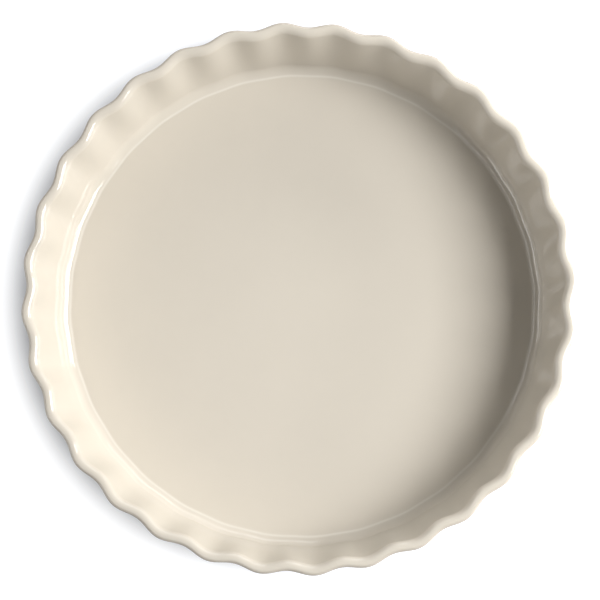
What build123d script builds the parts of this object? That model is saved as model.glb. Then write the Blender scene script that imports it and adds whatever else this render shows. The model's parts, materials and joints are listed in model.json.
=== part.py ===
# A deep fluted quiche dish of glazed stoneware. One fired clay body carries two thin coats of glaze:
# one wraps the inside, the rim and the outside, and one fills the recess within the bare foot ring.
# +Z is up, and the origin is on the table at the centre of the foot ring. Lengths are in millimetres.
from build123d import *
import os
from math import atan, cos, pi, radians, sin, tan

# Wall and floor, measured over the glaze
rim_diameter = 290.0
inside_depth = 45.0
wall_lean = 12.0
wall_thickness = 5.6
floor_thickness = 7.0
cove_radius = 6.5
heel_radius = 7.0
lip_outer_radius = 1.7
lip_land = 0.08

# Flutes: one even wave round the wall, full at the rim and almost gone at the floor
flute_count = 32
rim_swing = 1.35
floor_swing = 0.18
points_per_flute = 6

# Foot ring, left bare so that the dish does not fuse to the kiln shelf
foot_height = 3.0
foot_width = 6.0
foot_setback = 2.0
foot_rounding = 0.8
foot_blend = 0.8
bare_height = 1.5

# Glaze, and the closeness at which two places count as one
glaze_thickness = 0.4
match = 0.001

# Levels
underside = foot_height
floor_level = underside + floor_thickness
rim_level = floor_level + inside_depth

# Radii. A corner's reach is how far its rounding runs along the wall, for a rounding of radius 1.
lean = radians(wall_lean)
blunt_reach = tan(pi / 4 - lean / 2)
sharp_reach = tan(pi / 4 + lean / 2)
flank = atan(2 * flute_count * rim_swing / rim_diameter)
lip_inner_width = wall_thickness * cos(flank) - lip_land - lip_outer_radius * sharp_reach
lip_inner_radius = lip_inner_width / blunt_reach
outer_rim_radius = rim_diameter / 2 - rim_swing + lip_outer_radius * (sharp_reach - 1)
inner_rim_radius = outer_rim_radius - wall_thickness
heel_corner_radius = outer_rim_radius - (rim_level - underside) * tan(lean)
foot_outer_radius = heel_corner_radius - heel_radius * blunt_reach - foot_setback
foot_inner_radius = foot_outer_radius - foot_width


def wave(mean_radius, swing, level):
    """A closed level curve that swings in and out once for each flute, with a crest on +X."""
    count = flute_count * points_per_flute
    turns = [2 * pi * step / count for step in range(count + 1)]
    radii = [mean_radius + swing * cos(flute_count * turn) for turn in turns]
    points = [(radius * cos(turn), radius * sin(turn), level) for radius, turn in zip(radii, turns)]
    heading = (0, mean_radius + swing, 0)
    return Wire([Edge.make_spline(points, tangents=[heading, heading], parameters=turns, scale=False)])


def wall_curve(rim_radius, level):
    """The curve of a fluted, leaning wall at one level, from its mean radius at the rim."""
    height_share = (level - floor_level) / inside_depth
    swing = floor_swing + (rim_swing - floor_swing) * height_share
    return wave(rim_radius - (rim_level - level) * tan(lean), swing, level)


def wall_corners(inset):
    """The wall's four corner curves: heel, outer rim, inner rim and floor, drawn in by one distance."""
    sideways = inset / cos(lean)
    return [
        wall_curve(outer_rim_radius - sideways, underside + inset),
        wall_curve(outer_rim_radius - sideways, rim_level - inset),
        wall_curve(inner_rim_radius + sideways, rim_level - inset),
        wall_curve(inner_rim_radius + sideways, floor_level - inset),
    ]


def edges_on(solid, curves):
    """The closed edges of a solid that start where the given curves start."""
    starts = [curve.edge() @ 0 for curve in curves]
    closed = [edge for edge in solid.edges() if edge.is_closed]
    return [edge for edge in closed if any((edge @ 0 - start).length < match for start in starts)]


def round_wall(solid, corners, inset):
    """Rounds the heel, the lip and the cove of a wall whose faces are drawn in by one distance."""
    heel, outer_rim, inner_rim, floor = corners
    solid = solid.fillet(heel_radius - inset, edges_on(solid, [heel]))
    solid = solid.fillet(cove_radius + inset, edges_on(solid, [floor]))
    solid = solid.fillet(lip_outer_radius - inset, edges_on(solid, [outer_rim]))
    return solid.fillet(lip_inner_radius - inset, edges_on(solid, [inner_rim]))


def puck(radius, bottom, top):
    """A plain upright disc between two levels."""
    disc = Cylinder(radius, top - bottom, align=(Align.CENTER, Align.CENTER, Align.MIN))
    return Pos(0, 0, bottom) * disc


def circles_at(solid, level):
    """The true circles of a solid that lie at one level."""
    circles = solid.edges().filter_by(GeomType.CIRCLE)
    return circles.filter_by_position(Axis.Z, level - match, level + match)


def stoneware_body():
    """The fired clay: floor, fluted wall, rounded lip and the foot ring that stands on the table."""
    corners = wall_corners(glaze_thickness)
    body = round_wall(Solid.make_loft(corners, ruled=True), corners, glaze_thickness)
    outer = foot_outer_radius - glaze_thickness
    inner = foot_inner_radius + glaze_thickness
    ceiling = underside + glaze_thickness
    foot_top = ceiling + floor_thickness / 2
    foot = puck(outer, 0, foot_top) - puck(inner, 0, foot_top)
    foot = fillet(circles_at(foot, 0), foot_rounding)
    body += foot
    return fillet(circles_at(body, ceiling), foot_blend + glaze_thickness)


def glaze_coat():
    """The glaze from the middle of the floor, up over the lip and down to the bare band of the foot."""
    skin = wall_corners(0)
    clay = wall_corners(glaze_thickness)
    foot = foot_outer_radius
    clay_foot = foot - glaze_thickness
    skin_crease = wave(foot, 0, underside)
    clay_crease = wave(clay_foot, 0, underside + glaze_thickness)
    end = [wave(foot, 0, bare_height), wave(clay_foot, 0, bare_height)]
    coat = Solid.make_loft([*reversed(skin), skin_crease, *end, clay_crease, *clay], ruled=True)
    coat = coat.fillet(foot_blend, edges_on(coat, [skin_crease]))
    coat = coat.fillet(foot_blend + glaze_thickness, edges_on(coat, [clay_crease]))
    coat = round_wall(coat, skin, 0)
    return round_wall(coat, clay, glaze_thickness)


def base_glaze():
    """The glaze in the recess within the foot ring, turned down the ring's inner side."""
    ceiling = underside + glaze_thickness
    clay_side = puck(foot_inner_radius + glaze_thickness, bare_height, ceiling)
    clay_side = fillet(circles_at(clay_side, ceiling), foot_blend + glaze_thickness)
    open_side = puck(foot_inner_radius, bare_height, underside)
    open_side = fillet(circles_at(open_side, underside), foot_blend)
    return clay_side - open_side


def main():
    """Builds each piece and writes it to its own file."""
    os.makedirs("parts", exist_ok=True)
    pieces = {
        "stoneware_body": stoneware_body(),
        "glaze_coat": glaze_coat(),
        "base_glaze": base_glaze(),
    }
    for name, piece in pieces.items():
        export_step(piece, f"parts/{name}.step")


main()
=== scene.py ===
import json
import logging
import math
from dataclasses import dataclass, field
from enum import Enum

import bpy
import numpy as np
from mathutils import Matrix, Vector


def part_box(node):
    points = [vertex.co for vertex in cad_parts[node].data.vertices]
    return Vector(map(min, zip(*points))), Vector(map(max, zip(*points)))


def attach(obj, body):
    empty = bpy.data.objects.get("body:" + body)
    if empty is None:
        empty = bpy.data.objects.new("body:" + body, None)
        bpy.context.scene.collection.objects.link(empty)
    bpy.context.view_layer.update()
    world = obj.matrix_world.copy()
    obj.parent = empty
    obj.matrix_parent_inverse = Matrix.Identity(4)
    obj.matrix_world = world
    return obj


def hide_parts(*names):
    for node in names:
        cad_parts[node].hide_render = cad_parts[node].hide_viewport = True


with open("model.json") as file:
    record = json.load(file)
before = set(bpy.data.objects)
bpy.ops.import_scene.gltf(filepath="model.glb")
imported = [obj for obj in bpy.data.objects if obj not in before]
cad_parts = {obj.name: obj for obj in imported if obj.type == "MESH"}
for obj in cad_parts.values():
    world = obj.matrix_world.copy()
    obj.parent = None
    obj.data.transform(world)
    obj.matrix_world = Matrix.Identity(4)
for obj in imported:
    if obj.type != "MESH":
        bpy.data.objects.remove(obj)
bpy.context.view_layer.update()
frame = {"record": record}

MM = 0.001
WHITE = (1.0, 1.0, 1.0, 1.0)
LOG = logging.getLogger("quiche_dish")


class Slot(Enum):
    """The record's material slots."""

    BARE_STONEWARE = "bare_stoneware"
    CREAM_GLAZE = "cream_glaze"


@dataclass(frozen=True)
class DishSizes:
    """The dish's sizes, measured over the glaze, in metres and radians."""

    rim_radius: float
    rim_level: float
    floor_level: float
    underside: float
    bare_level: float
    foot_inner: float
    flute_count: int = 32
    rim_swing: float = 1.35 * MM
    floor_swing: float = 0.18 * MM
    wall_lean: float = math.radians(12.0)
    wall_thickness: float = 5.6 * MM
    lip_outer_radius: float = 1.7 * MM
    lip_inner_radius: float = 3.93 * MM
    cove_radius: float = 6.5 * MM
    heel_radius: float = 7.0 * MM
    foot_width: float = 6.0 * MM
    foot_blend: float = 0.8 * MM
    foot_rounding: float = 0.8 * MM
    glaze: float = 0.4 * MM

    @classmethod
    def from_frame(cls) -> "DishSizes":
        """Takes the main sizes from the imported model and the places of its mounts.

        Returns:
            The sizes of this dish.
        """
        coat_low, coat_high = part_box("glaze_coat")
        base_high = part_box("base_glaze")[1]
        mounts = {mount["name"]: mount for mount in frame["record"]["mounts"]}
        return cls(
            rim_radius=max(coat_high.x, -coat_low.x),
            rim_level=coat_high.z,
            floor_level=mounts["inside_floor"]["pos_m"][2],
            underside=base_high.z - cls.glaze,
            bare_level=coat_low.z,
            foot_inner=base_high.x - cls.glaze,
        )

    @property
    def outer_rim(self) -> float:
        """The mean radius where the outer wall would meet the rim if the lip were square."""
        reach = math.tan(math.pi / 4 + self.wall_lean / 2)
        return self.rim_radius - self.rim_swing + self.lip_outer_radius * (reach - 1.0)

    @property
    def inner_rim(self) -> float:
        """The mean radius where the inner wall would meet the rim if the lip were square."""
        return self.outer_rim - self.wall_thickness

    @property
    def floor_corner(self) -> float:
        """The mean radius where the inner wall would meet the floor without its cove."""
        return self.inner_rim - (self.rim_level - self.floor_level) * math.tan(self.wall_lean)

    @property
    def heel_corner(self) -> float:
        """The mean radius where the outer wall would meet the underside without its rounding."""
        return self.outer_rim - (self.rim_level - self.underside) * math.tan(self.wall_lean)

    @property
    def foot_outer(self) -> float:
        """The outer radius of the foot ring over the glaze."""
        return self.foot_inner + self.foot_width

    def swing(self, levels: np.ndarray) -> np.ndarray:
        """How far the flutes swing in and out at some levels.

        Args:
            levels: Heights above the table.

        Returns:
            The swing at each height, none below the foot of the flutes.
        """
        share = (levels - self.floor_level) / (self.rim_level - self.floor_level)
        return np.maximum(self.floor_swing + (self.rim_swing - self.floor_swing) * share, 0.0)


@dataclass(frozen=True)
class Corner:
    """One corner of a section line.

    Attributes:
        radius: Distance from the dish's axis.
        level: Height above the table.
        rounding: Radius of the rounding, none for a sharp corner.
        bend_rows: Rows of points round the rounding.
        run_rows: Rows of points along the straight run that follows.
        thin: How thin the glaze lies on the rounding, from 0 to 1.
        painted_line_amount: How strongly a lighter line is painted near the start of the rounding, a
            painted highlight, from 0 to 1.
    """

    radius: float
    level: float
    rounding: float = 0.0
    bend_rows: int = 1
    run_rows: int = 1
    thin: float = 0.0
    painted_line_amount: float = 0.0


class SectionLine:
    """The line round half of a ring-shaped piece's section, from the axis and back to it.

    Attributes:
        PAINTED_LINE_PLACE: Where the painted highlight line is brightest, as a share of the rounding that
            it lies on.
        PAINTED_LINE_WIDTH: How widely the painted highlight line spreads, as a share of the same rounding.
    """

    PAINTED_LINE_PLACE = 0.13
    PAINTED_LINE_WIDTH = 0.07

    def __init__(self, corners: list[Corner]) -> None:
        """Works out the line's points.

        Args:
            corners: The corners in order, the first and the last on the dish's axis.
        """
        self.points: list[tuple[float, float, float]] = []
        for before, corner, after in zip([None, *corners], corners, [*corners[1:], None]):
            bend = self._bend(before, corner, after) if corner.rounding else [
                (corner.radius, corner.level, corner.thin)
            ]
            if before is not None and before.run_rows > 1:
                self._add_run(self.points[-1], bend[0], before.run_rows)
            self.points.extend(bend)

    @staticmethod
    def _bend(before: Corner, corner: Corner, after: Corner) -> list[tuple[float, float, float]]:
        """Works out the points of one rounded corner.

        Args:
            before: The corner before.
            corner: The corner that is rounded.
            after: The corner after.

        Returns:
            The points, each as radius, level and how thin the glaze is, negative along the painted
            highlight line.
        """
        tip = Vector((corner.radius, corner.level))
        back = (Vector((before.radius, before.level)) - tip).normalized()
        ahead = (Vector((after.radius, after.level)) - tip).normalized()
        half = back.angle(ahead) / 2
        reach = corner.rounding / math.tan(half)
        centre = tip + (back + ahead).normalized() * corner.rounding / math.sin(half)
        start = tip + back * reach - centre
        sweep = -start.angle_signed(tip + ahead * reach - centre)
        points = []
        for row in range(corner.bend_rows + 1):
            share = row / corner.bend_rows
            arm = Matrix.Rotation(sweep * share, 2) @ start
            # Painted highlight: a lighter line near the start of the rounding, written as negative
            # thinness.
            painted_line = math.exp(-(((share - SectionLine.PAINTED_LINE_PLACE) / SectionLine.PAINTED_LINE_WIDTH) ** 2))
            thin = corner.thin * math.sin(math.pi * share) - corner.painted_line_amount * painted_line
            points.append((centre.x + arm.x, centre.y + arm.y, thin))
        return points

    def _add_run(self, start: tuple, end: tuple, rows: int) -> None:
        """Divides a straight run between two points into rows.

        Args:
            start: The run's first point, which the line already has.
            end: The point that ends the run.
            rows: Rows along the run.
        """
        for row in range(1, rows):
            share = row / rows
            self.points.append(tuple(a + (b - a) * share for a, b in zip(start, end)))


class Wheel:
    """The potter's wheel: turns a section line into a ring-shaped piece and presses its flutes.

    Attributes:
        THIN_AND_PAINTED_LINE: The mesh attribute for the glaze, positive where it is thin and negative
            along the painted highlight line.
        CLOSE_SHARE: The closeness at which two vertices join, as a share of the glaze's thickness.
    """

    THIN_AND_PAINTED_LINE = "glaze_thin_and_painted_line"
    CLOSE_SHARE = 0.01

    def __init__(self, sizes: DishSizes, columns_per_flute: int = 18) -> None:
        """Sets the wheel up.

        Args:
            sizes: The dish's sizes.
            columns_per_flute: Columns of faces in each flute.
        """
        self.sizes = sizes
        self.columns = sizes.flute_count * columns_per_flute

    def turn(self, name: str, section: SectionLine) -> bpy.types.Object:
        """Turns a closed piece from its section line.

        Args:
            name: The piece's name.
            section: The section line, which starts and ends on the axis.

        Returns:
            The piece, fluted, smooth and with its glaze thickness and painted highlight line noted.
        """
        bpy.ops.object.select_all(action="DESELECT")
        closeness = self.sizes.glaze * self.CLOSE_SHARE
        radius, level, _ = section.points[0]
        bpy.ops.mesh.primitive_plane_add(size=self.sizes.glaze, location=(0, 0, 0))
        piece = bpy.context.object
        piece.name = piece.data.name = name
        bpy.ops.object.mode_set(mode="EDIT")
        bpy.ops.mesh.select_all(action="SELECT")
        bpy.ops.mesh.merge(type="CENTER")
        bpy.ops.transform.translate(value=(radius, 0, level))
        for next_radius, next_level, _ in section.points[1:]:
            step = (next_radius - radius, 0, next_level - level)
            bpy.ops.mesh.extrude_vertices_move(TRANSFORM_OT_translate={"value": step})
            radius, level = next_radius, next_level
        bpy.ops.object.mode_set(mode="OBJECT")
        spin = piece.modifiers.new("spin", "SCREW")
        spin.axis = "Z"
        spin.angle = math.tau
        spin.steps = spin.render_steps = self.columns
        spin.use_merge_vertices = True
        spin.merge_threshold = closeness
        bpy.ops.object.modifier_apply(modifier=spin.name)
        bpy.ops.object.mode_set(mode="EDIT")
        bpy.ops.mesh.select_all(action="SELECT")
        bpy.ops.mesh.remove_doubles(threshold=closeness)
        bpy.ops.mesh.normals_make_consistent(inside=False)
        bpy.ops.object.mode_set(mode="OBJECT")
        bpy.ops.object.shade_smooth()
        self._note_thinness_and_painted_line(piece, section)
        self._press_flutes(piece)
        return piece

    def _note_thinness_and_painted_line(self, piece: bpy.types.Object, section: SectionLine) -> None:
        """Writes how thin the glaze lies at each vertex, and where the painted highlight line lies, read
        from the nearest section point.

        Args:
            piece: The turned piece, before its flutes are pressed.
            section: The section line that it was turned from.
        """
        places = vertex_places(piece)
        line = np.array(section.points)
        around = np.hypot(places[:, 0], places[:, 1])
        thin = np.empty(len(places))
        for index, (radius, level) in enumerate(zip(around, places[:, 2])):
            thin[index] = line[np.argmin((line[:, 0] - radius) ** 2 + (line[:, 1] - level) ** 2), 2]
        attribute = piece.data.attributes.new(self.THIN_AND_PAINTED_LINE, "FLOAT", "POINT")
        attribute.data.foreach_set("value", thin)

    def _press_flutes(self, piece: bpy.types.Object) -> None:
        """Moves the vertices in and out along the even wave of the flutes.

        Args:
            piece: The turned piece.
        """
        places = vertex_places(piece)
        turns = np.arctan2(places[:, 1], places[:, 0])
        around = np.hypot(places[:, 0], places[:, 1])
        inward_share = np.minimum(around / self.sizes.floor_corner, 1.0) ** 2
        moved = self.sizes.swing(places[:, 2]) * np.cos(self.sizes.flute_count * turns) * inward_share
        places[:, 0] += moved * np.cos(turns)
        places[:, 1] += moved * np.sin(turns)
        piece.data.vertices.foreach_set("co", places.ravel())
        piece.data.update()


def direction(bearing: float, drop: float) -> Vector:
    """Points from the dish along a bearing and an angle from straight up, both in radians."""
    return Vector((math.cos(bearing) * math.sin(drop), math.sin(bearing) * math.sin(drop), math.cos(drop)))


def vertex_places(piece: bpy.types.Object) -> np.ndarray:
    """Reads the places of a piece's vertices.

    Args:
        piece: A mesh object at the origin.

    Returns:
        One row of x, y and z for each vertex.
    """
    places = np.empty(len(piece.data.vertices) * 3)
    piece.data.vertices.foreach_get("co", places)
    return places.reshape(-1, 3)


@dataclass(frozen=True)
class NodeGroups:
    """The shader effects that more than one finish uses."""

    mottling: bpy.types.ShaderNodeTree
    specks: bpy.types.ShaderNodeTree
    ripple: bpy.types.ShaderNodeTree

    @classmethod
    def build(cls) -> "NodeGroups":
        """Builds each effect once.

        Returns:
            The built groups.
        """
        return cls(cls._mottling(), cls._specks(), cls._ripple())

    @staticmethod
    def _start(name: str, inputs: dict[str, tuple[str, object]], outputs: dict[str, str]) -> tuple:
        """Starts a group with its sockets.

        Args:
            name: The group's name.
            inputs: Each input's socket type and its value.
            outputs: Each output's socket type.

        Returns:
            The group, its input node and its output node.
        """
        tree = bpy.data.node_groups.new(name, "ShaderNodeTree")
        for label, (kind, value) in inputs.items():
            socket = tree.interface.new_socket(label, in_out="INPUT", socket_type=kind)
            if value is not None:
                socket.default_value = value
        for label, kind in outputs.items():
            tree.interface.new_socket(label, in_out="OUTPUT", socket_type=kind)
        return tree, tree.nodes.new("NodeGroupInput"), tree.nodes.new("NodeGroupOutput")

    @classmethod
    def _mottling(cls) -> bpy.types.ShaderNodeTree:
        """Soft clouds between two colours, as glaze and clay have after firing.

        Returns:
            The group.
        """
        tree, given, out = cls._start(
            "fired_mottling",
            {
                "Place": ("NodeSocketVector", None),
                "Light colour": ("NodeSocketColor", WHITE),
                "Deep colour": ("NodeSocketColor", WHITE),
                "Clouds per metre": ("NodeSocketFloat", 30.0),
                "Amount": ("NodeSocketFloat", 1.0),
            },
            {"Colour": "NodeSocketColor"},
        )
        clouds = tree.nodes.new("ShaderNodeTexNoise")
        clouds.inputs["Detail"].default_value = 4.0
        clouds.inputs["Roughness"].default_value = 0.6
        spread = tree.nodes.new("ShaderNodeMapRange")
        spread.inputs["From Min"].default_value = 0.3
        spread.inputs["From Max"].default_value = 0.7
        scaled = tree.nodes.new("ShaderNodeMath")
        scaled.operation = "MULTIPLY"
        blend = tree.nodes.new("ShaderNodeMix")
        blend.data_type = "RGBA"
        link = tree.links.new
        link(given.outputs["Place"], clouds.inputs["Vector"])
        link(given.outputs["Clouds per metre"], clouds.inputs["Scale"])
        link(clouds.outputs["Fac"], spread.inputs["Value"])
        link(spread.outputs["Result"], scaled.inputs[0])
        link(given.outputs["Amount"], scaled.inputs[1])
        link(scaled.outputs["Value"], blend.inputs["Factor"])
        link(given.outputs["Light colour"], blend.inputs["A"])
        link(given.outputs["Deep colour"], blend.inputs["B"])
        link(blend.outputs["Result"], out.inputs["Colour"])
        return tree

    @classmethod
    def _specks(cls) -> bpy.types.ShaderNodeTree:
        """Sparse round specks, as iron in the clay and pinholes in the glaze leave.

        Returns:
            The group.
        """
        tree, given, out = cls._start(
            "iron_specks",
            {
                "Place": ("NodeSocketVector", None),
                "Cells per metre": ("NodeSocketFloat", 60.0),
                "Share of cells": ("NodeSocketFloat", 0.05),
                "Speck size": ("NodeSocketFloat", 0.02),
            },
            {"Mask": "NodeSocketFloat"},
        )
        cells = tree.nodes.new("ShaderNodeTexVoronoi")
        chosen = tree.nodes.new("ShaderNodeMath")
        chosen.operation = "LESS_THAN"
        split = tree.nodes.new("ShaderNodeSeparateColor")
        near = tree.nodes.new("ShaderNodeMapRange")
        near.interpolation_type = "SMOOTHSTEP"
        near.inputs["To Min"].default_value = 1.0
        near.inputs["To Max"].default_value = 0.0
        both = tree.nodes.new("ShaderNodeMath")
        both.operation = "MULTIPLY"
        link = tree.links.new
        link(given.outputs["Place"], cells.inputs["Vector"])
        link(given.outputs["Cells per metre"], cells.inputs["Scale"])
        link(cells.outputs["Color"], split.inputs["Color"])
        link(split.outputs["Red"], chosen.inputs[0])
        link(given.outputs["Share of cells"], chosen.inputs[1])
        link(cells.outputs["Distance"], near.inputs["Value"])
        link(given.outputs["Speck size"], near.inputs["From Max"])
        link(chosen.outputs["Value"], both.inputs[0])
        link(near.outputs["Result"], both.inputs[1])
        link(both.outputs["Value"], out.inputs["Mask"])
        return tree

    @classmethod
    def _ripple(cls) -> bpy.types.ShaderNodeTree:
        """A low, even unevenness of the surface, in metres of height.

        Returns:
            The group.
        """
        tree, given, out = cls._start(
            "surface_ripple",
            {
                "Place": ("NodeSocketVector", None),
                "Waves per metre": ("NodeSocketFloat", 80.0),
                "Depth": ("NodeSocketFloat", 0.02 * MM),
            },
            {"Height": "NodeSocketFloat"},
        )
        noise = tree.nodes.new("ShaderNodeTexNoise")
        noise.inputs["Detail"].default_value = 1.0
        deep = tree.nodes.new("ShaderNodeMath")
        deep.operation = "MULTIPLY"
        link = tree.links.new
        link(given.outputs["Place"], noise.inputs["Vector"])
        link(given.outputs["Waves per metre"], noise.inputs["Scale"])
        link(noise.outputs["Fac"], deep.inputs[0])
        link(given.outputs["Depth"], deep.inputs[1])
        link(deep.outputs["Value"], out.inputs["Height"])
        return tree


def add_group(
    tree: bpy.types.ShaderNodeTree, group: bpy.types.ShaderNodeTree, **values: object,
) -> bpy.types.Node:
    """Places a shader group in a material.

    Args:
        tree: The material's nodes.
        group: The group.
        values: Input values, each name written with _ for a space.

    Returns:
        The placed group node.
    """
    node = tree.nodes.new("ShaderNodeGroup")
    node.node_tree = group
    for label, value in values.items():
        node.inputs[label.replace("_", " ")].default_value = value
    return node


def add_mix(tree: bpy.types.ShaderNodeTree, colour: tuple) -> bpy.types.Node:
    """Places a mix that leads to a colour.

    Args:
        tree: The material's nodes.
        colour: The colour at full strength.

    Returns:
        The placed mix node.
    """
    mix = tree.nodes.new("ShaderNodeMix")
    mix.data_type = "RGBA"
    mix.inputs["B"].default_value = colour
    return mix


def add_relief(tree: bpy.types.ShaderNodeTree, relief: bpy.types.Node) -> None:
    """Bends the surface by the height that an effect gives in metres.

    Args:
        tree: The material's nodes.
        relief: The placed effect.
    """
    bump = tree.nodes.new("ShaderNodeBump")
    bump.inputs["Distance"].default_value = 1.0
    tree.links.new(relief.outputs["Height"], bump.inputs["Height"])
    tree.links.new(bump.outputs["Normal"], tree.nodes["Principled BSDF"].inputs["Normal"])


@dataclass(frozen=True)
class CreamGlaze:
    """A glossy cream glaze that lets the clay warm it where it runs thin.

    Attributes:
        groups: The shared shader effects.
        cream: The glaze's main colour.
        deep_cream: Its colour in the clouds.
        thin_tan: Its colour where it is thinnest.
        painted_line_cream: The lighter colour of the painted highlight line where the cove meets the floor.
        speck_brown: The specks' colour.
        roughness: How rough its surface is.
        refraction: Its index of refraction.
        cloud_density: Clouds per metre.
        cloud_share: How strongly the clouds show.
        thin_share: How far the colour goes to tan where the glaze is thinnest.
        speck_density: Cells per metre in which a speck can lie.
        speck_share: The share of cells that hold a speck.
        speck_size: A speck's radius as a share of its cell.
        ripple_density: Waves per metre of the surface.
        ripple_depth: Depth of those waves in metres.
    """

    groups: NodeGroups
    cream: tuple = (0.632, 0.583, 0.503, 1.0)
    deep_cream: tuple = (0.608, 0.562, 0.484, 1.0)
    thin_tan: tuple = (0.468, 0.367, 0.289, 1.0)
    painted_line_cream: tuple = (0.718, 0.679, 0.605, 1.0)
    speck_brown: tuple = (0.16, 0.11, 0.07, 1.0)
    roughness: float = 0.06
    refraction: float = 1.5
    cloud_density: float = 26.0
    cloud_share: float = 0.55
    thin_share: float = 0.22
    speck_density: float = 45.0
    speck_share: float = 0.06
    speck_size: float = 0.016
    ripple_density: float = 55.0
    ripple_depth: float = 0.06 * MM

    def material(self) -> bpy.types.Material:
        """Builds the glaze's material.

        Returns:
            The material.
        """
        glaze = bpy.data.materials.new("cream_glaze_gloss")
        glaze.use_nodes = True
        tree = glaze.node_tree
        link = tree.links.new
        shader = tree.nodes["Principled BSDF"]
        shader.inputs["Roughness"].default_value = self.roughness
        shader.inputs["IOR"].default_value = self.refraction
        place = tree.nodes.new("ShaderNodeTexCoord").outputs["Object"]

        clouds = add_group(
            tree, self.groups.mottling,
            Light_colour=self.cream, Deep_colour=self.deep_cream,
            Clouds_per_metre=self.cloud_density, Amount=self.cloud_share,
        )
        link(place, clouds.inputs["Place"])
        thin = tree.nodes.new("ShaderNodeAttribute")
        thin.attribute_name = Wheel.THIN_AND_PAINTED_LINE
        edge = add_mix(tree, self.thin_tan)
        thinned = tree.nodes.new("ShaderNodeMath")
        thinned.operation = "MULTIPLY"
        thinned.inputs[1].default_value = self.thin_share
        thinned.use_clamp = True
        # Painted highlight: a lighter line of colour where the cove meets the floor.
        painted_line = add_mix(tree, self.painted_line_cream)
        painted_line_mask = tree.nodes.new("ShaderNodeMath")
        painted_line_mask.operation = "MULTIPLY"
        painted_line_mask.inputs[1].default_value = -1.0
        painted_line_mask.use_clamp = True
        for share in (thinned, painted_line_mask):
            link(thin.outputs["Fac"], share.inputs[0])
        link(painted_line_mask.outputs["Value"], painted_line.inputs["Factor"])
        link(clouds.outputs["Colour"], painted_line.inputs["A"])
        link(thinned.outputs["Value"], edge.inputs["Factor"])
        link(painted_line.outputs["Result"], edge.inputs["A"])

        specks = add_group(
            tree, self.groups.specks,
            Cells_per_metre=self.speck_density, Share_of_cells=self.speck_share, Speck_size=self.speck_size,
        )
        link(place, specks.inputs["Place"])
        speckled = add_mix(tree, self.speck_brown)
        link(specks.outputs["Mask"], speckled.inputs["Factor"])
        link(edge.outputs["Result"], speckled.inputs["A"])
        link(speckled.outputs["Result"], shader.inputs["Base Color"])

        ripple = add_group(
            tree, self.groups.ripple, Waves_per_metre=self.ripple_density, Depth=self.ripple_depth,
        )
        link(place, ripple.inputs["Place"])
        add_relief(tree, ripple)
        return glaze


@dataclass(frozen=True)
class BareStoneware:
    """The clay where no glaze lies: matte, a little gritty, and warmer than the glaze.

    Attributes:
        groups: The shared shader effects.
        buff: The clay's main colour.
        deep_buff: Its colour in the clouds.
        iron: The iron specks' colour.
        roughness: How rough its surface is.
        cloud_density: Clouds per metre.
        cloud_share: How strongly the clouds show.
        speck_density: Cells per metre in which a speck can lie.
        speck_share: The share of cells that hold a speck.
        speck_size: A speck's radius as a share of its cell.
        grain_density: Grains per metre of the surface.
        grain_depth: Depth of the grain in metres.
    """

    groups: NodeGroups
    buff: tuple = (0.62, 0.50, 0.37, 1.0)
    deep_buff: tuple = (0.50, 0.38, 0.27, 1.0)
    iron: tuple = (0.14, 0.08, 0.05, 1.0)
    roughness: float = 0.82
    cloud_density: float = 90.0
    cloud_share: float = 1.0
    speck_density: float = 420.0
    speck_share: float = 0.16
    speck_size: float = 0.16
    grain_density: float = 1500.0
    grain_depth: float = 0.08 * MM

    def material(self) -> bpy.types.Material:
        """Builds the bare clay's material.

        Returns:
            The material.
        """
        clay = bpy.data.materials.new("bare_stoneware_matte")
        clay.use_nodes = True
        tree = clay.node_tree
        link = tree.links.new
        shader = tree.nodes["Principled BSDF"]
        shader.inputs["Roughness"].default_value = self.roughness
        place = tree.nodes.new("ShaderNodeTexCoord").outputs["Object"]
        clouds = add_group(
            tree, self.groups.mottling,
            Light_colour=self.buff, Deep_colour=self.deep_buff,
            Clouds_per_metre=self.cloud_density, Amount=self.cloud_share,
        )
        specks = add_group(
            tree, self.groups.specks,
            Cells_per_metre=self.speck_density, Share_of_cells=self.speck_share, Speck_size=self.speck_size,
        )
        speckled = add_mix(tree, self.iron)
        grain = add_group(
            tree, self.groups.ripple, Waves_per_metre=self.grain_density, Depth=self.grain_depth,
        )
        for effect in (clouds, specks, grain):
            link(place, effect.inputs["Place"])
        link(clouds.outputs["Colour"], speckled.inputs["A"])
        link(specks.outputs["Mask"], speckled.inputs["Factor"])
        link(speckled.outputs["Result"], shader.inputs["Base Color"])
        add_relief(tree, grain)
        return clay


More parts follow.
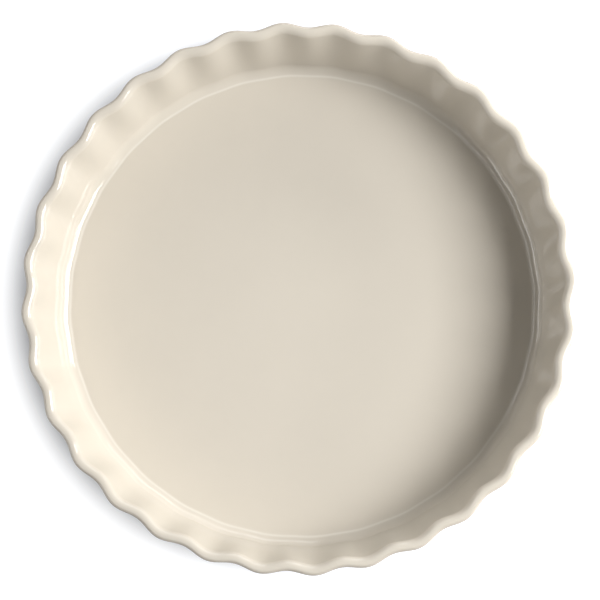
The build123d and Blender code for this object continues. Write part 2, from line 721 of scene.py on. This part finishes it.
@dataclass
class Dish:
    """The dish: its clay body and the two coats of glaze on it.

    Attributes:
        sizes: The dish's sizes.
        wheel: The wheel that turns its pieces.
        glaze: The glaze's material.
        clay: The bare clay's material.
        end_rounding: Radius of the glaze's edge beside the bare band.
        seen_rows: Rows of points along each long face that shows.
        hidden_rows: Rows along each long face that lies under glaze or on clay.
        base_rows: Rows across the recess under the base.
        least_bend_rows: Fewest rows round a rounding of the wall.
    """

    sizes: DishSizes
    wheel: Wheel
    glaze: bpy.types.Material
    clay: bpy.types.Material
    end_rounding: float = 0.18 * MM
    seen_rows: int = 16
    hidden_rows: int = 6
    base_rows: int = 14
    least_bend_rows: int = 4

    def build(self) -> None:
        """Turns, fits and dresses each piece."""
        self._add("glaze_surface", self._coat_section(), self.glaze, "glaze_coat")
        self._add("base_glaze_surface", self._base_section(), self.glaze, "base_glaze")
        self._add("clay_body", self._clay_section(), self.clay, "stoneware_body")

    def _add(
        self, name: str, section: SectionLine, finish: bpy.types.Material, node: str,
    ) -> None:
        """Turns one piece, gives it its finish and fits it to the frame.

        Args:
            name: The piece's name.
            section: Its section line.
            finish: Its material.
            node: The CAD node that it stands for.
        """
        piece = self.wheel.turn(name, section)
        piece.data.materials.append(finish)
        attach(piece, "root")
        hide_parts(node)
        LOG.info("%s: %d faces", name, len(piece.data.polygons))

    def _wall(self, inset: float, rows: int) -> list[Corner]:
        """The corners of the wall from the inside floor to the heel.

        Args:
            inset: How far the line lies inside the glaze's open side.
            rows: Rows of points along each side of the wall.

        Returns:
            The floor, inner rim, outer rim and heel corners.
        """
        size = self.sizes
        aside = inset / math.cos(size.wall_lean)
        lift = inset * math.tan(size.wall_lean)
        bend = max(rows * 3 // 4, self.least_bend_rows)
        floor_level, rim_level = size.floor_level - inset, size.rim_level - inset
        floor_radius = size.floor_corner + aside - lift
        inner_rim, outer_rim = size.inner_rim + aside - lift, size.outer_rim - aside - lift
        heel_radius = size.heel_corner - aside + lift
        return [
            # The cove carries the painted highlight line, a lighter band where it meets the floor.
            Corner(floor_radius, floor_level, size.cove_radius + inset, 2 * bend, rows, painted_line_amount=1.0),
            Corner(inner_rim, rim_level, size.lip_inner_radius - inset, bend),
            Corner(outer_rim, rim_level, size.lip_outer_radius - inset, bend, rows, thin=1.0),
            Corner(heel_radius, size.underside + inset, size.heel_radius - inset, bend, 2),
        ]

    def _coat_section(self) -> SectionLine:
        """The section of the glaze over the inside, the lip and the outside.

        Returns:
            The section line.
        """
        size = self.sizes
        clay_foot = size.foot_outer - size.glaze
        open_side = [
            Corner(0.0, size.floor_level, run_rows=self.seen_rows),
            *self._wall(0.0, self.seen_rows),
            Corner(size.foot_outer, size.underside, size.foot_blend, bend_rows=4, run_rows=2),
            Corner(size.foot_outer, size.bare_level, self.end_rounding, bend_rows=3, thin=0.8),
            Corner(clay_foot, size.bare_level),
        ]
        clay_side = [
            Corner(clay_foot, size.underside + size.glaze, size.foot_blend + size.glaze, bend_rows=3),
            *reversed(self._wall(size.glaze, self.hidden_rows)),
            Corner(0.0, size.floor_level - size.glaze),
        ]
        return SectionLine([*open_side, *clay_side])

    def _base_section(self) -> SectionLine:
        """The section of the glaze in the recess inside the foot ring.

        Returns:
            The section line.
        """
        size = self.sizes
        clay_side = size.foot_inner + size.glaze
        ceiling = size.underside + size.glaze
        return SectionLine([
            Corner(0.0, size.underside, run_rows=self.base_rows),
            Corner(size.foot_inner, size.underside, size.foot_blend, bend_rows=6, run_rows=2),
            Corner(size.foot_inner, size.bare_level, self.end_rounding, bend_rows=3, thin=0.8),
            Corner(clay_side, size.bare_level),
            Corner(clay_side, ceiling, size.foot_blend + size.glaze, 4, self.hidden_rows),
            Corner(0.0, ceiling),
        ])

    def _clay_section(self) -> SectionLine:
        """The section of the clay body, with its bare foot ring.

        Returns:
            The section line.
        """
        size = self.sizes
        outer, inner = size.foot_outer - size.glaze, size.foot_inner + size.glaze
        ceiling = size.underside + size.glaze
        blend = size.foot_blend + size.glaze
        return SectionLine([
            Corner(0.0, size.floor_level - size.glaze, run_rows=self.hidden_rows),
            *self._wall(size.glaze, self.hidden_rows),
            Corner(outer, ceiling, blend, bend_rows=4, run_rows=3),
            Corner(outer, 0.0, size.foot_rounding, bend_rows=6, run_rows=6),
            Corner(inner, 0.0, size.foot_rounding, bend_rows=6, run_rows=3),
            Corner(inner, ceiling, blend, 4, self.hidden_rows),
            Corner(0.0, ceiling),
        ])


@dataclass(frozen=True)
class Softbox:
    """A rectangular softbox that faces the dish.

    Attributes:
        name: The light's name.
        azimuth: Its bearing from the dish, in degrees from the picture's right.
        zenith: Its angle from straight up, in degrees.
        width: Its level side.
        height: Its other side.
        power: Its power in watts.
        distance: Its distance from the dish.
    """

    name: str
    azimuth: float
    zenith: float
    width: float
    height: float
    power: float
    distance: float = 1.2

    def place(self, turn: float) -> bpy.types.Object:
        """Hangs the softbox.

        Args:
            turn: The angle from the picture's right to the dish's +X, in radians.

        Returns:
            The light.
        """
        lamp = bpy.data.lights.new(self.name, "AREA")
        lamp.shape = "RECTANGLE"
        lamp.size = self.width
        lamp.size_y = self.height
        lamp.energy = self.power
        light = bpy.data.objects.new(self.name, lamp)
        bpy.context.scene.collection.objects.link(light)
        toward = direction(math.radians(self.azimuth) + turn, math.radians(self.zenith))
        light.location = toward * self.distance
        light.rotation_mode = "QUATERNION"
        light.rotation_quaternion = toward.to_track_quat("Z", "Y")
        return light


@dataclass(frozen=True)
class PhotoCamera:
    """The photograph's camera, almost straight above the dish.

    Attributes:
        tilt: Its angle from straight up, in degrees.
        bearing: The side that it leans to, in degrees from the picture's right.
        distance: Its distance from the middle of the rim.
        focal_pixels: Its focal length in pixels of the 600 pixel picture.
        shift_right: How far the dish stands to the right of its axis.
        shift_up: How far the dish stands above its axis in the picture.
        crest_turn: The bearing of a flute's crest in the picture, in degrees.
        picture_pixels: The picture's width in pixels.
        sensor: The width of the sensor in millimetres.
    """

    tilt: float = 5.88
    bearing: float = -70.4
    distance: float = 1.225
    focal_pixels: float = 2353.0
    shift_right: float = -0.98 * MM
    shift_up: float = 2.01 * MM
    crest_turn: float = 110.3 / 32
    picture_pixels: float = 600.0
    sensor: float = 36.0

    @property
    def turn(self) -> float:
        """The angle from the picture's right to the dish's +X, in radians."""
        return -math.radians(self.crest_turn)

    def place(self, sizes: DishSizes) -> bpy.types.Object:
        """Puts the camera up and makes it the scene's.

        Args:
            sizes: The dish's sizes.

        Returns:
            The camera.
        """
        back = direction(math.radians(self.bearing) + self.turn, math.radians(self.tilt))
        picture_up = Vector((-math.sin(self.turn), math.cos(self.turn), 0.0))
        right = picture_up.cross(back).normalized()
        up = back.cross(right)
        middle = Vector((0.0, 0.0, sizes.rim_level - sizes.lip_outer_radius))
        lens = bpy.data.cameras.new("photo_camera")
        lens.sensor_width = self.sensor
        lens.lens = self.focal_pixels / self.picture_pixels * self.sensor
        camera = bpy.data.objects.new("photo_camera", lens)
        bpy.context.scene.collection.objects.link(camera)
        camera.rotation_mode = "QUATERNION"
        camera.rotation_quaternion = Matrix((right, up, back)).transposed().to_quaternion()
        camera.location = middle + back * self.distance - right * self.shift_right - up * self.shift_up
        bpy.context.scene.camera = camera
        return camera


@dataclass(frozen=True)
class Studio:
    """The plain studio: a pale table with a painted glow that leaves a painted shadow round the dish, soft
    light and the camera.

    Attributes:
        sizes: The dish's sizes.
        camera: The camera.
        table_side: The side of the square table.
        table_grey: The table's colour, which shows in the dish's shade.
        table_roughness: How rough the table is.
        softboxes: The softboxes.
        sky: Strength of the even light from the room.
        backdrop: Strength of the backdrop as the camera sees it.
        table_gap: How far the table lies below the foot ring.
        painted_glow: Strength of the table's painted glow as the camera sees it, away from the dish.
        painted_glow_spill: Strength of the table's painted glow where it lights the dish.
        painted_glow_start: Distance from the middle of the painted shadow at which the painted glow starts.
        painted_glow_end: Distance from the middle of the painted shadow at which the painted glow is full.
        painted_shadow_shift: Where the middle of the painted shadow lies, from the dish's axis.
    """

    sizes: DishSizes
    camera: PhotoCamera = field(default_factory=PhotoCamera)
    table_side: float = 6.0
    table_grey: tuple = (0.38, 0.40, 0.44, 1.0)
    table_roughness: float = 0.9
    softboxes: tuple = (
        Softbox("key_softbox", azimuth=-1.0, zenith=46.0, width=0.75, height=0.55, power=19.0),
        Softbox("low_key_strip", azimuth=3.0, zenith=70.0, width=0.8, height=0.12, power=4.5),
        Softbox("side_strip", azimuth=68.0, zenith=68.0, width=1.2, height=0.3, power=5.2),
        Softbox("left_fill", azimuth=188.0, zenith=75.0, width=1.1, height=0.22, power=4.4),
        Softbox("top_strip_left", azimuth=180.0, zenith=25.0, width=0.8, height=0.08, power=1.1),
    )
    sky: float = 0.06
    backdrop: float = 1.0
    table_gap: float = 0.1 * MM
    painted_glow: float = 0.95
    painted_glow_spill: float = 0.4
    painted_glow_start: float = 131.0 * MM
    painted_glow_end: float = 157.0 * MM
    painted_shadow_shift: tuple = (-11.0 * MM, 6.0 * MM)

    def build(self) -> None:
        """Lays the table, hangs the lights and puts the camera up."""
        self._lay_table()
        for softbox in self.softboxes:
            softbox.place(self.camera.turn)
        self._light_room()
        self.camera.place(self.sizes)
        scene = bpy.context.scene
        scene.view_settings.view_transform = "Standard"
        scene.view_settings.look = "None"
        LOG.info("studio: %d softboxes", len(self.softboxes))

    def _lay_table(self) -> None:
        """Lays the pale table, a hair below the foot ring so that the table's painted glow reaches the
        ring's flat. The glow is painted light, and it fades out round the dish into a painted shadow.
        """
        bpy.ops.object.select_all(action="DESELECT")
        bpy.ops.mesh.primitive_plane_add(size=self.table_side, location=(0, 0, -self.table_gap))
        table = bpy.context.object
        table.name = "table"
        white = bpy.data.materials.new("table_painted_glow")
        white.use_nodes = True
        shader = white.node_tree.nodes["Principled BSDF"]
        shader.inputs["Base Color"].default_value = self.table_grey
        shader.inputs["Roughness"].default_value = self.table_roughness
        shader.inputs["Specular IOR Level"].default_value = 0.0
        shader.inputs["Emission Color"].default_value = WHITE
        tree = white.node_tree
        place = tree.nodes.new("ShaderNodeTexCoord").outputs["Object"]
        # Painted shadow: the table's painted glow, which whitens it, fades out near the dish round a middle
        # shifted off the dish's axis.
        away = tree.nodes.new("ShaderNodeVectorMath")
        away.operation = "DISTANCE"
        away.inputs[1].default_value = (*self.painted_shadow_shift, 0.0)
        painted_glow = tree.nodes.new("ShaderNodeMapRange")
        painted_glow.interpolation_type = "SMOOTHSTEP"
        painted_glow.inputs["From Min"].default_value = self.painted_glow_start
        painted_glow.inputs["From Max"].default_value = self.painted_glow_end
        painted_glow.inputs["To Max"].default_value = self.painted_glow
        seen = tree.nodes.new("ShaderNodeMapRange")
        seen.inputs["To Min"].default_value = self.painted_glow_spill
        clear = tree.nodes.new("ShaderNodeBsdfTransparent")
        sides = tree.nodes.new("ShaderNodeMixShader")
        link = tree.links.new
        link(place, away.inputs[0])
        link(away.outputs["Value"], painted_glow.inputs["Value"])
        link(tree.nodes.new("ShaderNodeLightPath").outputs["Is Camera Ray"], seen.inputs["Value"])
        link(painted_glow.outputs["Result"], seen.inputs["To Max"])
        link(seen.outputs["Result"], shader.inputs["Emission Strength"])
        link(tree.nodes.new("ShaderNodeNewGeometry").outputs["Backfacing"], sides.inputs["Fac"])
        link(shader.outputs["BSDF"], sides.inputs[1])
        link(clear.outputs["BSDF"], sides.inputs[2])
        link(sides.outputs["Shader"], tree.nodes["Material Output"].inputs["Surface"])
        table.data.materials.append(white)

    def _light_room(self) -> None:
        """Gives the room its dim, even light behind a pale backdrop."""
        world = bpy.data.worlds.new("studio_room")
        world.use_nodes = True
        tree = world.node_tree
        backdrop = tree.nodes["Background"]
        backdrop.inputs["Color"].default_value = WHITE
        seen = tree.nodes.new("ShaderNodeMapRange")
        seen.inputs["To Min"].default_value = self.sky
        seen.inputs["To Max"].default_value = self.backdrop
        path = tree.nodes.new("ShaderNodeLightPath")
        tree.links.new(path.outputs["Is Camera Ray"], seen.inputs["Value"])
        tree.links.new(seen.outputs["Result"], backdrop.inputs["Strength"])
        bpy.context.scene.world = world


def main() -> None:
    """Builds the dish and the studio round it."""
    logging.basicConfig(level=logging.INFO, format="%(message)s")
    sizes = DishSizes.from_frame()
    groups = NodeGroups.build()
    dish = Dish(sizes, Wheel(sizes), CreamGlaze(groups).material(), BareStoneware(groups).material())
    dish.build()
    Studio(sizes).build()


if __name__ == "__main__":
    main()
